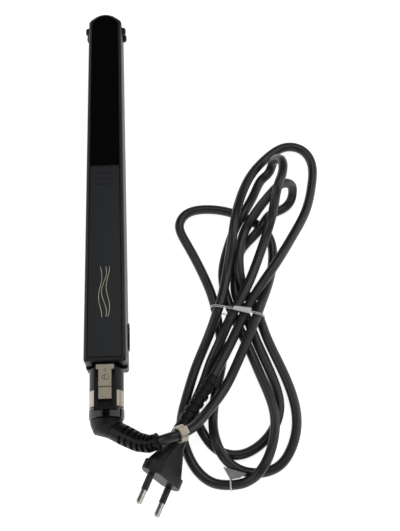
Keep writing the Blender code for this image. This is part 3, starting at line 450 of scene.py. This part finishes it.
# %% A row of bars by Geometry Nodes
def repeated(name, bar, count, start, offset, finish_name, body):
    """Instances of a bar mesh along a straight line of points, made real."""
    tree = bpy.data.node_groups.new(name, "GeometryNodeTree")
    inputs = {}
    for label, kind in (
        ("Count", "NodeSocketInt"),
        ("Start", "NodeSocketVector"),
        ("Offset", "NodeSocketVector"),
        ("Bar", "NodeSocketObject"),
        ("Finish", "NodeSocketMaterial"),
    ):
        inputs[label] = tree.interface.new_socket(label, in_out="INPUT", socket_type=kind).identifier
    tree.interface.new_socket("Geometry", in_out="OUTPUT", socket_type="NodeSocketGeometry")
    add, link = tree.nodes.new, tree.links.new
    given, result = add("NodeGroupInput"), add("NodeGroupOutput")
    points = add("GeometryNodeMeshLine")
    link(given.outputs["Count"], points.inputs["Count"])
    link(given.outputs["Start"], points.inputs["Start Location"])
    link(given.outputs["Offset"], points.inputs["Offset"])
    shape = add("GeometryNodeObjectInfo")
    link(given.outputs["Bar"], shape.inputs["Object"])
    copies = add("GeometryNodeInstanceOnPoints")
    link(points.outputs["Mesh"], copies.inputs["Points"])
    link(shape.outputs["Geometry"], copies.inputs["Instance"])
    real = add("GeometryNodeRealizeInstances")
    link(copies.outputs["Instances"], real.inputs["Geometry"])
    paint = add("GeometryNodeSetMaterial")
    link(real.outputs["Geometry"], paint.inputs["Geometry"])
    link(given.outputs["Finish"], paint.inputs["Material"])
    link(paint.outputs["Geometry"], result.inputs["Geometry"])
    holder = bpy.data.objects.new(name, bpy.data.meshes.new(name))
    bpy.context.scene.collection.objects.link(holder)
    modifier = holder.modifiers.new("repeat", "NODES")
    modifier.node_group = tree
    values = {"Count": count, "Start": start, "Offset": offset, "Bar": bar, "Finish": FINISHES[finish_name]}
    for label, value in values.items():
        modifier[inputs[label]] = value
    bpy.context.view_layer.update()
    made_mesh = bpy.data.meshes.new_from_object(holder.evaluated_get(bpy.context.evaluated_depsgraph_get()))
    holder.modifiers.remove(modifier)
    holder.data = made_mesh
    bpy.data.objects.remove(bar)
    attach(holder, body)
    print(name, "has", len(made_mesh.polygons), "faces in", count, "bars")
    return holder


# %% The bars
def rounded_bar(name, half_x, half_y, half_z, edge):
    bm = bmesh.new()
    bmesh.ops.create_cube(bm, size=2)
    bmesh.ops.scale(bm, vec=(half_x * MM, half_y * MM, half_z * MM), verts=bm.verts)
    bmesh.ops.bevel(bm, geom=bm.edges[:], offset=edge * MM, segments=3, affect="EDGES")
    mesh = bpy.data.meshes.new(name)
    bm.to_mesh(mesh)
    bm.free()
    mesh.shade_smooth()
    made = bpy.data.objects.new(name, mesh)
    bpy.context.scene.collection.objects.link(made)
    return made


GRIP_X = -0.6
GRIP_COUNT, GRIP_PITCH, GRIP_FIRST = 4, 4.1, 21.6
GRIP_HALF_SIZES, BAR_EDGE = (6.0, 0.55, 0.3), 0.25
grip_last = GRIP_FIRST - GRIP_PITCH * (GRIP_COUNT - 1)
grip_rows = dropped(handle_face, [(GRIP_X, GRIP_FIRST), (GRIP_X, grip_last)], MARK_SINK)
grip_start = Vector(grip_rows[0]) * MM
grip_offset = (Vector(grip_rows[1]) * MM - grip_start) / (GRIP_COUNT - 1)
grip_bar = rounded_bar("grip_bar", *GRIP_HALF_SIZES, BAR_EDGE)
repeated("grip_marks", grip_bar, GRIP_COUNT, grip_start, grip_offset, "gloss_black", "upper_arm")

# %% The switch's ribs
RIB_COUNT, RIB_PITCH, RIB_FIRST, RIB_SINK = 6, 2.1, 3.0, 0.1
RIB_HALF_SIZES = (0.35, 0.4, 1.9)
low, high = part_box("power_slider")
rib_start = Vector((high.x - RIB_SINK * MM, low.y + RIB_FIRST * MM, (low.z + high.z) / 2))
rib_bar = rounded_bar("switch_bar", *RIB_HALF_SIZES, BAR_EDGE)
rib_offset = Vector((0, RIB_PITCH * MM, 0))
repeated("switch_ribs", rib_bar, RIB_COUNT, rib_start, rib_offset, "satin_black", "power_switch")

# %% [markdown]
# ## The lock's icons
# A chevron and a small padlock lie sideways on the button, and a line marks its step. The marks are
# pressed in, and their grooves lie in shade. Thin dark wires, sunk to about their middles, look the same
# from a hand's distance and leave the button's own mesh whole: their dark colour is painted shade.

# %% Lines on the lock
ICON_R, ICON_SINK = 0.2, -0.06
CHEVRON = [(0.9, -108.9), (-0.7, -109.9), (0.9, -110.9)]
PADLOCK_BASE, PADLOCK_TOP = -0.1, 1.9
PADLOCK_SIDES = (-112.3, -115.5)
SHACKLE_RISE, SHACKLE_HALF = 1.7, 1.05
STEP_Y, STEP_HALF = -119.5, 3.5
lock_face = surface_of("lock_slider")


def icon(name, points, closed=False):
    laid = dropped(lock_face, points, ICON_SINK)
    # the dark colour of these wires is painted shade of the pressed-in grooves
    wire(name, laid, ICON_R, "plate_coat", "lock", closed=closed, rounds=2)
    print(name, "has", len(laid), "points")


icon("lock_chevron", CHEVRON)
first, last = PADLOCK_SIDES
corners = [(PADLOCK_BASE, first), (PADLOCK_TOP, first), (PADLOCK_TOP, last), (PADLOCK_BASE, last)]
icon("padlock_body", corners, closed=True)
shackle_y = (first + last) / 2
shackle = [
    (PADLOCK_BASE - SHACKLE_RISE * math.sin(a), shackle_y + SHACKLE_HALF * math.cos(a))
    for a in np.linspace(0, math.pi, 13)
]
icon("padlock_shackle", shackle)
icon("thumb_line", [(-STEP_HALF, STEP_Y), (STEP_HALF, STEP_Y)])

# %% [markdown]
# ## The boot's ribs
# The elbow's boot bends with the cord. Its slots leave a row of ribs around a slimmer core. Cutting the
# slots with Booleans along a bend is slow and leaves slivers. Rings of points along the boot's own middle
# line do it in one skin: a slot's rings are drawn in, except where the whole spines run between the slots.
# The middle line lies in a plane turned up by the swivel's tilt.

# %% A ring of the boot
SWIVEL_TILT = math.radians(20)
AXIS_Z = 14.0
# along the tilted sideways axis, along Y, turn in degrees, radius
BOOT = [(5.22, -143.7, 48, 6.0), (11.8, -147.4, 58, 6.0), (20.2, -151.9, 68, 5.6)]
BOOT += [(27, -153.5, 85, 5.1), (32.7, -152.4, 103, 4.6)]
RING_POINTS = 96
SPINE_WIDTH, SPINE_EDGE = 0.35, 5  # the whole spines' share of the way round, and how sharply they end


def boot_ring(position, shrink):
    """Points around the boot at a position from 0 to 1 along it."""
    rows = np.array(BOOT, float)
    where = np.linspace(0, 1, len(rows))
    u, y, turn, radius = (float(np.interp(position, where, rows[:, i])) for i in range(4))
    turn = math.radians(turn)
    side = Vector((math.cos(SWIVEL_TILT), 0, math.sin(SWIVEL_TILT)))
    across = Vector((-math.sin(SWIVEL_TILT), 0, math.cos(SWIVEL_TILT)))
    first = side * math.cos(turn) + Vector((0, math.sin(turn), 0))
    centre = side * u + Vector((0, y, AXIS_Z))
    ring = []
    for i in range(RING_POINTS):
        a = math.tau * i / RING_POINTS
        # four spines stay whole between the slots
        window = min(1.0, max(0.0, (abs(math.sin(2 * a)) - SPINE_WIDTH) * SPINE_EDGE)) if shrink > 0 else 1.0
        r = radius - shrink * window
        ring.append((centre + first * r * math.cos(a) + across * r * math.sin(a)) * MM)
    return ring


print("the boot runs through", len(BOOT), "sections")


# %% A closed skin over rings
def ringed_mesh(name, rings, finish_name, body):
    """A closed skin over rings of points in metres."""
    bm = bmesh.new()
    rows = [[bm.verts.new(p) for p in ring] for ring in rings]
    count = len(rows[0])
    for low, high in zip(rows, rows[1:]):
        for i in range(count):
            j = (i + 1) % count
            bm.faces.new((low[i], low[j], high[j], high[i]))
    bm.faces.new(rows[0][::-1])
    bm.faces.new(rows[-1])
    bmesh.ops.recalc_face_normals(bm, faces=bm.faces)
    mesh = bpy.data.meshes.new(name)
    bm.to_mesh(mesh)
    bm.free()
    mesh.shade_smooth()
    mesh.set_sharp_from_angle(angle=math.radians(40))
    mesh.materials.append(FINISHES[finish_name])
    made = bpy.data.objects.new(name, mesh)
    bpy.context.scene.collection.objects.link(made)
    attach(made, body)
    print(name, "has", len(mesh.polygons), "faces")
    return made


# %% The boot
SLOT_FIRST, SLOT_PITCH, SLOT_COUNT = 0.22, 0.105, 7
SLOT_DEPTH, SLOT_WALL, SLOT_WIDTH = 1.5, 0.008, 0.056
COLLAR_RISE = 0.35


def boot():
    """The boot from its cone end (0) to its collar (1); every place is a share of its length."""
    rings = [boot_ring(0, 0), boot_ring(0.01, 0)]
    floor = (SLOT_WALL, SLOT_WIDTH - SLOT_WALL)
    for k in range(SLOT_COUNT):
        start = SLOT_FIRST + k * SLOT_PITCH
        for offset, shrink in ((0, 0), (floor[0], SLOT_DEPTH), (floor[1], SLOT_DEPTH), (SLOT_WIDTH, 0)):
            rings.append(boot_ring(start + offset, shrink))
    for position, rise in ((0.955, 0), (0.96, COLLAR_RISE), (0.99, COLLAR_RISE), (1, 0)):
        rings.append(boot_ring(position, -rise))
    return ringed_mesh("boot", rings, "satin_black", "swivel")


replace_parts(boot(), "strain_relief")

# %% [markdown]
# ## The wire ties
# The bundle's tie is two thin wires side by side, close around the strands. They are twisted together over
# the strands into a thick white clump. The CAD tie is one plain band, which would look like tape. A curve
# with a round section gives a wire at once, so the loops and the twist are curves. The bottom loop's tie
# ends in a small flat tab.

# %% The bundle's two wires
TIE_START, TIE_END = Vector((65.5, -69.2, 0)), Vector((95.2, -76.2, 0))
TIE_LOW, TIE_HIGH, TIE_OVER = 0.5, 16.6, 1.7
TIE_WIRE_R, TIE_ASIDE = 0.22, 0.45
TIE_SQUARENESS = 0.55  # 1 is an ellipse, and less is nearer to a rounded box


def squared(share):
    return math.copysign(abs(share) ** TIE_SQUARENESS, share)


def tie_line(aside):
    """A flat oval just over the strands in millimetres, moved a little along the tie's own width."""
    across = (TIE_END - TIE_START).normalized()
    width = Vector((-across.y, across.x, 0))
    half = (TIE_END - TIE_START).length / 2 + TIE_OVER
    middle = (TIE_START + TIE_END) / 2 + Vector((0, 0, (TIE_LOW + TIE_HIGH) / 2))
    points = []
    for angle in np.linspace(0, math.tau, 48, endpoint=False):
        out = across * squared(math.cos(angle)) * half
        lift = Vector((0, 0, squared(math.sin(angle)) * (TIE_HIGH - TIE_LOW) / 2))
        points.append(middle + out + lift + width * aside)
    return points


bundle_wires = [
    wire(f"bundle_wire_{k + 1}", tie_line(aside), TIE_WIRE_R, "tie_white", "swivel", closed=True, rounds=2)
    for k, aside in enumerate((-TIE_ASIDE, TIE_ASIDE))
]
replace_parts(bundle_wires[0], "bundle_tie")
print(len(bundle_wires), "wires around the bundle")

# %% The twist
TWIST_START, TWIST_END = Vector((78.0, -72.0, 17.6)), Vector((87.5, -74.0, 17.2))
TWIST_TURNS, TWIST_SPREAD, TWIST_R = 4, 0.9, 0.85


def twist(name):
    """Two helices, half a turn apart, that open a little towards their loose ends."""
    along = (TWIST_END - TWIST_START).normalized()
    level = along.cross(Vector((0, 0, 1))).normalized()
    rise = level.cross(along)
    made = []
    for k, phase in enumerate((0, math.pi)):
        points = []
        for t in np.linspace(0, 1, 14 * TWIST_TURNS):
            angle = phase + math.tau * TWIST_TURNS * t
            out = TWIST_SPREAD * (0.7 + 0.5 * t)
            aside = (level * math.cos(angle) + rise * math.sin(angle)) * out
            points.append(TWIST_START.lerp(TWIST_END, t) + aside)
        made.append(wire(f"{name}_{k + 1}", points, TWIST_R, "tie_white", "swivel", rounds=2))
    return made


twisted = twist("bundle_twist")
print(len(twisted), "wires in the twist")

# %% The tab
TAB = [(67.2, -166.0), (80.8, -170.3), (76.5, -172.8), (71.0, -173.4)]
TAB_LOW, TAB_HIGH = 8.9, 9.25
tab_rings = [[Vector((x, y, z)) * MM for x, y in TAB] for z in (TAB_LOW, TAB_HIGH)]
tab = ringed_mesh("loop_tab", tab_rings, "steel", "swivel")

# %% [markdown]
# ## What the cord is
# The tube is drawn as it lies, but a real cord is soft. A cord could be left as a plain rigid piece, and
# then nobody could lay it out again. Here the pieces that it carries are listed.

# %% The pieces on the cord
ON_CORD = ["cord_clip", "loop_tie", "plug_body", "plug_relief", "plug_pin_upper", "plug_pin_lower"]
ON_CORD += ["pin_sleeve_upper", "pin_sleeve_lower"]
